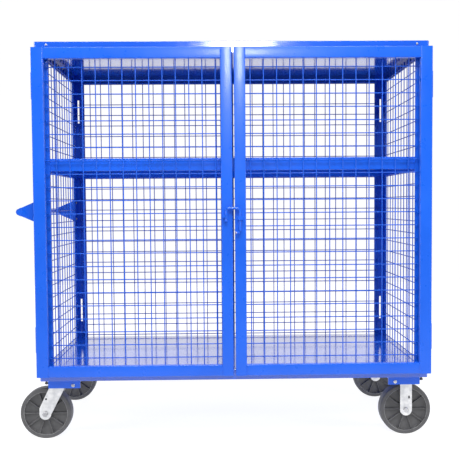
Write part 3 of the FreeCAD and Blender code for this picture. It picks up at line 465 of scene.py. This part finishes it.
def wheel_profile(half, radius):
    """Half section of the tyre and web, from the front face round the tread to the back."""
    rim = radius - TREAD
    web = half - RECESS
    shoulder = 0.007
    front = [(-HUB_HALF + 0.0008, 0.0108), (-HUB_HALF, 0.0118), (-HUB_HALF, HUB - 0.0015),
             (-HUB_HALF + 0.0015, HUB), (-web - 0.001, HUB + 0.002), (-web, HUB + 0.005),
             (-web, rim - 0.005), (-web - 0.002, rim - 0.0015), (-half + 0.0012, rim),
             (-half, rim + 0.0012)]
    arc = []
    for k in range(7):
        a = math.radians(90.0 * k / 6)
        arc.append((-half + shoulder - shoulder * math.cos(a),
                    radius - shoulder + shoulder * math.sin(a)))
    near = front + arc + [(-0.0004, radius)]
    return near + [(-y, r) for y, r in reversed(near)]


def wheel_rib(bm, centre, angle, face, radius):
    """One tapered rib from the hub to the rim, on the front (-1) or the back (1) of the web."""
    out = Vector((math.cos(angle), 0, math.sin(angle)))
    side = Vector((-math.sin(angle), 0, math.cos(angle)))
    half_foot, half_top, edge = 0.0034, 0.0022, 0.0007
    base = face * (WHEEL_HALF - 0.0125)
    crest = face * (WHEEL_HALF - 0.0035)
    rings = []
    for reach, lift in ((0.020, 0.0), (0.024, 0.0), (0.055, -0.001 * face), (radius - 0.0155, 0.0)):
        at = centre + out * reach
        shoulder = crest + lift - 0.0006 * face
        right = [(half_foot, base), (half_top, shoulder), (half_top - edge, crest + lift)]
        left = [(-a, level) for a, level in reversed(right)]
        rings.append(add_ring(bm, [at + side * a + Vector((0, level, 0)) for a, level in right + left]))
    for first, second in zip(rings, rings[1:]):
        bridge(bm, first, second)
    bm.faces.new(rings[0])
    bm.faces.new(rings[-1])


def make_wheel(key):
    low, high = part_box(key + "_wheel")
    radius = (high.x - low.x) / 2
    centre = (low + high) / 2
    bm = bmesh.new()
    add_lathe(bm, centre, (0, 1, 0), wheel_profile(WHEEL_HALF, radius), 96)
    count = 10
    for face in (-1, 1):
        for i in range(count):
            wheel_rib(bm, centre, math.tau * i / count, face, radius)
    finish_mesh(bm, key + "_moulded_wheel", WHEEL, key + "_wheel", [key + "_wheel"], 30.0)
    bm = bmesh.new()
    ring = radius - 0.0155
    for face in (-1, 1):
        level = face * (WHEEL_HALF - 0.0004)
        spots = [centre + Vector((ring * math.cos(a), level, ring * math.sin(a)))
                 for a in [math.tau * k / 96 for k in range(97)]]
        add_tube(bm, spots, 0.0014, 8)
    finish_mesh(bm, key + "_rim_lines", RIM, key + "_wheel", angle=60.0)


def make_axle(key):
    low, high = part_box(key + "_bush")
    centre = (low + high) / 2
    bm = bmesh.new()
    at = Vector((centre.x, centre.y - LEG_OUT, centre.z))
    add_lathe(bm, at, (0, 1, 0), [(0, 0.0063), (LEG_OUT, 0.0063), (2 * LEG_OUT, 0.0063)], 32)
    add_hex(bm, at, (0, -1, 0), 0.0108, 0.0066)
    back = Vector((centre.x, centre.y + LEG_OUT, centre.z))
    add_hex(bm, back, (0, 1, 0), 0.0108, 0.0086)
    add_lathe(bm, back, (0, 1, 0), [(0, 0.0058), (0.0096, 0.0058), (0.0108, 0.0050)], 24)
    body = key + "_swivel" if "left" in key else "cage"
    finish_mesh(bm, key + "_axle_bolt", STEEL, body, [key + "_axle"])
    r = (high.x - low.x) / 2
    length = high.y - low.y
    bm = bmesh.new()
    add_lathe(bm, Vector((centre.x, low.y, centre.z)), (0, 1, 0),
              [(0, r - 0.0006), (0.0006, r), (length / 2, r), (length - 0.0006, r),
               (length, r - 0.0006)], 40)
    finish_mesh(bm, key + "_turned_bush", BUSH, key + "_wheel", [key + "_bush"])


def make_bolts():
    """Plate bolts: washer, nut and thread end below the plate, hex head above the mount."""
    low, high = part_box("caster_bolts")
    bm = bmesh.new()
    for key in CORNERS:
        plate = "swivel_plates" if "left" in key else key + "_frame"
        box_low, box_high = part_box(plate)
        x = (box_low.x + box_high.x) / 2
        if "left" in key:
            y = (box_low.y + PLATE_HALF) * (1 if key.startswith("front") else -1)
            plate_low = box_low.z
        else:
            y = (box_low.y + box_high.y) / 2
            plate_low = box_high.z - PLATE_WALL
        for sx in (-1, 1):
            for sy in (-1, 1):
                at = Vector((x + sx * BOLT_X, y + sy * BOLT_Y, plate_low))
                add_lathe(bm, at, (0, 0, -1), [(-0.0001, 0.0092), (0.0011, 0.0092), (0.0013, 0.0089)], 28)
                add_hex(bm, at + Vector((0, 0, -0.0013)), (0, 0, -1), 0.0079, 0.0046)
                add_lathe(bm, at, (0, 0, -1), [(0, 0.0042), (0.0063, 0.0042), (0.0069, 0.0036)], 20)
                top = Vector((at.x, at.y, high.z - 0.0055))
                add_hex(bm, top, (0, 0, 1), 0.0079, 0.0052)
    finish_mesh(bm, "caster_plate_bolts", STEEL, "cage", ["caster_bolts"])


def make_trim_bolts():
    """Bolts in the mounts' lips, rivets in the roof's lip and studs under the deck's corners."""
    low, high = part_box("mount_bolts")
    bm = bmesh.new()
    z = (low.z + high.z) / 2
    for x in (low.x + 0.0065, high.x - 0.0065):
        for face, out in ((low.y + 0.004, -1), (high.y - 0.004, 1)):
            at = Vector((x, face, z))
            add_lathe(bm, at, (0, out, 0), [(-0.0002, 0.0068), (0.0009, 0.0068), (0.0011, 0.0065)], 28)
            add_hex(bm, at + Vector((0, out * 0.0011, 0)), (0, out, 0), 0.0062, 0.0028)
            add_hex(bm, at + Vector((0, -out * 0.0047, 0)), (0, -out, 0), 0.0064, 0.0039)
    finish_mesh(bm, "mount_lip_bolts", STEEL, "cage", ["mount_bolts"])
    low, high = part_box("roof_rivets")
    bm = bmesh.new()
    for x in (low.x + 0.0045, high.x - 0.0045):
        at = Vector((x, high.y, (low.z + high.z) / 2))
        add_lathe(bm, at, (0, -1, 0), [(-0.0004, 0.0045), (0.0003, 0.0045), (0.0010, 0.0040),
                                       (0.0016, 0.0028), (0.0019, 0.0012)], 28)
    finish_mesh(bm, "roof_rivet_heads", STEEL, "cage", ["roof_rivets"])
    low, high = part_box("foot_studs")
    bm = bmesh.new()
    for x in (low.x + 0.007, high.x - 0.007):
        for y in (low.y + 0.0061, high.y - 0.0061):
            at = Vector((x, y, low.z))
            add_lathe(bm, at, (0, 0, 1), [(0, 0.0033), (0.0007, 0.004), (0.02, 0.004),
                                          (high.z - low.z, 0.004)], 24)
            add_hex(bm, at + Vector((0, 0, 0.007)), (0, 0, -1), 0.0069, 0.0058)
    # the studs' near-black colour is painted shadow from the deck lip
    finish_mesh(bm, "deck_corner_studs", STUD_PAINTED_SHADE, "cage", ["foot_studs"])


def make_swivels():
    """Ball races with a pressed lip, and the kingpin with its nut under each crown."""
    low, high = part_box("race_rings")
    high_ring = high.z - low.z
    bm = bmesh.new()
    pins = bmesh.new()
    pin_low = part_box("kingpins")[0]
    x = (low.x + high.x) / 2
    r = (high.x - low.x) / 2
    for sign in (-1, 1):
        y = sign * (high.y - r)
        base = Vector((x, y, low.z))
        profile = [(0, r - 0.006), (0.0012, r - 0.002), (0.003, r - 0.0004), (0.0055, r),
                   (0.008, r - 0.0012), (0.010, r - 0.005), (high_ring - 0.0008, r - 0.0062),
                   (high_ring, r - 0.007)]
        add_lathe(bm, base, (0, 0, 1), profile, 64)
        pin = Vector((x, y, pin_low.z))
        add_hex(pins, pin + Vector((0, 0, 0.0075)), (0, 0, -1), 0.0137, 0.0072)
        add_lathe(pins, pin + Vector((0, 0, 0.001)), (0, 0, 1),
                  [(0, 0.0072), (0.001, 0.008), (0.019, 0.008)], 32)
    finish_mesh(bm, "pressed_races", ZINC, "cage", ["race_rings"])
    finish_mesh(pins, "kingpin_nuts", STEEL, "cage", ["kingpins"])


# carried-over parts --------------------------------------------------------------------------

def dress_nodes():
    for name, node in NODES.items():
        if name in ("deck_pan", "roof_pan"):
            material = BLUE_PAN
        elif name == "mid_shelf":
            material = BLUE_SHEET
        # rear header, rear centre post and side headers take the half-tone blue, which is painted shade
        # under the roof pan
        elif name in ("rear_header", "rear_centre_post", "side_headers"):
            material = BLUE_PAINTED_SHADE
        elif name.endswith(("_fork", "_frame")) or name in ("swivel_plates", "race_rings"):
            material = ZINC
        elif name.endswith("_axle") or name.endswith("_bolts") or name in ("kingpins", "roof_rivets"):
            material = STEEL
        elif name.endswith("_wheel"):
            material = WHEEL
        elif name.endswith("_bush"):
            material = BUSH
        else:
            material = BLUE
        node.data.materials.clear()
        node.data.materials.append(material)


# stage ---------------------------------------------------------------------------------------

def flat_shader(name, shade, strength, fade_from=None, fade_to=None):
    """A pale lit surface; its glow can fade in along Y, from a fifth to full strength."""
    s = Shader(name)
    tint = s.ramp(s.noise(0.6, 1.0), 0.3, 0.7, (shade * 0.98,) * 3, (shade,) * 3)
    s.link(tint, s.bsdf.inputs["Base Color"])
    s.set(Roughness=0.9, Emission_Strength=strength, Emission_Color=(1, 1, 1, 1), IOR=1.0)
    if fade_from is not None:
        split = s.add("ShaderNodeSeparateXYZ")
        s.link(s.coords, split.inputs[0])
        node = s.add("ShaderNodeMapRange")
        for socket, number in (("From Min", fade_from), ("From Max", fade_to),
                               ("To Min", strength / 5), ("To Max", strength)):
            node.inputs[socket].default_value = number
        s.link(split.outputs["Y"], node.inputs["Value"])
        s.link(node.outputs["Result"], s.bsdf.inputs["Emission Strength"])
    return s.mat


def add_light(name, at, aim, wide, high, power):
    data = bpy.data.lights.new(name, "AREA")
    data.shape = "RECTANGLE"
    data.size, data.size_y = wide, high
    data.energy = power
    obj = bpy.data.objects.new(name, data)
    bpy.context.scene.collection.objects.link(obj)
    obj.location = at
    obj.rotation_euler = (Vector(aim) - Vector(at)).to_track_quat("-Z", "Y").to_euler()
    return obj


def make_stage():
    scene = bpy.context.scene
    bm = bmesh.new()
    bmesh.ops.create_grid(bm, x_segments=12, y_segments=12, size=14.0)
    mesh = bpy.data.meshes.new("studio_floor")
    bm.to_mesh(mesh)
    bm.free()
    floor = bpy.data.objects.new("studio_floor", mesh)
    scene.collection.objects.link(floor)
    mesh.materials.append(flat_shader("floor_white", 0.30, 0.90, -2.6, -0.7))
    bm = bmesh.new()
    bmesh.ops.create_grid(bm, x_segments=8, y_segments=8, size=7.0)
    mesh = bpy.data.meshes.new("backdrop")
    bm.to_mesh(mesh)
    bm.free()
    backdrop = bpy.data.objects.new("backdrop", mesh)
    backdrop.location = (0, 5.5, 4.0)
    backdrop.rotation_euler = (math.radians(90), 0, 0)
    scene.collection.objects.link(backdrop)
    mesh.materials.append(flat_shader("backdrop_white", 0.02, 0.995))
    world = bpy.data.worlds.new("studio")
    world.use_nodes = True
    world.node_tree.nodes["Background"].inputs["Color"].default_value = (1.0, 1.0, 1.0, 1.0)
    world.node_tree.nodes["Background"].inputs["Strength"].default_value = 0.15
    scene.world = world
    add_light("top_softbox", (0.11, -3.24, 2.08), (0.0, -0.4, 1.45), 0.38, 0.38, 24.0)
    for side in (-1, 1):
        add_light("side_strip", (side * 3.0, -1.6, 1.2), (side * 0.76, -0.4, 0.9), 0.5, 3.0, 45.0)
    add_light("key_above", (0.0, -2.7, 4.3), (0, -0.4, 0.9), 3.0, 1.6, 200.0)
    scene.view_settings.view_transform = "Standard"
    scene.view_settings.look = "None"


def make_camera():
    """The camera stands at the front, a little left of the middle, and looks slightly down."""
    yaw, pitch, roll = -0.0181, -0.0457, -0.0072
    right = Vector((math.cos(yaw), math.sin(yaw), 0))
    ahead = Vector((-math.sin(yaw), math.cos(yaw), 0))
    up = Vector((0, 0, 1))
    look = ahead * math.cos(pitch) + up * math.sin(pitch)
    over = up * math.cos(pitch) - ahead * math.sin(pitch)
    across = right * math.cos(roll) + over * math.sin(roll)
    above = over * math.cos(roll) - right * math.sin(roll)
    data = bpy.data.cameras.new("camera")
    data.sensor_width = 36.0
    data.lens = 57.80
    data.shift_x, data.shift_y = -0.0075, 0.0197
    data.clip_end = 100.0
    camera = bpy.data.objects.new("camera", data)
    bpy.context.scene.collection.objects.link(camera)
    turn = Matrix((across, above, -look)).transposed().to_4x4()
    camera.matrix_world = Matrix.Translation((-0.0529, -3.2384, 0.9254)) @ turn
    bpy.context.scene.camera = camera


dress_nodes()
make_wires()
make_doors()
make_latch()
make_handle()
for corner in CORNERS:
    make_wheel(corner)
    make_axle(corner)
make_bolts()
make_trim_bolts()
make_swivels()
make_stage()
make_camera()
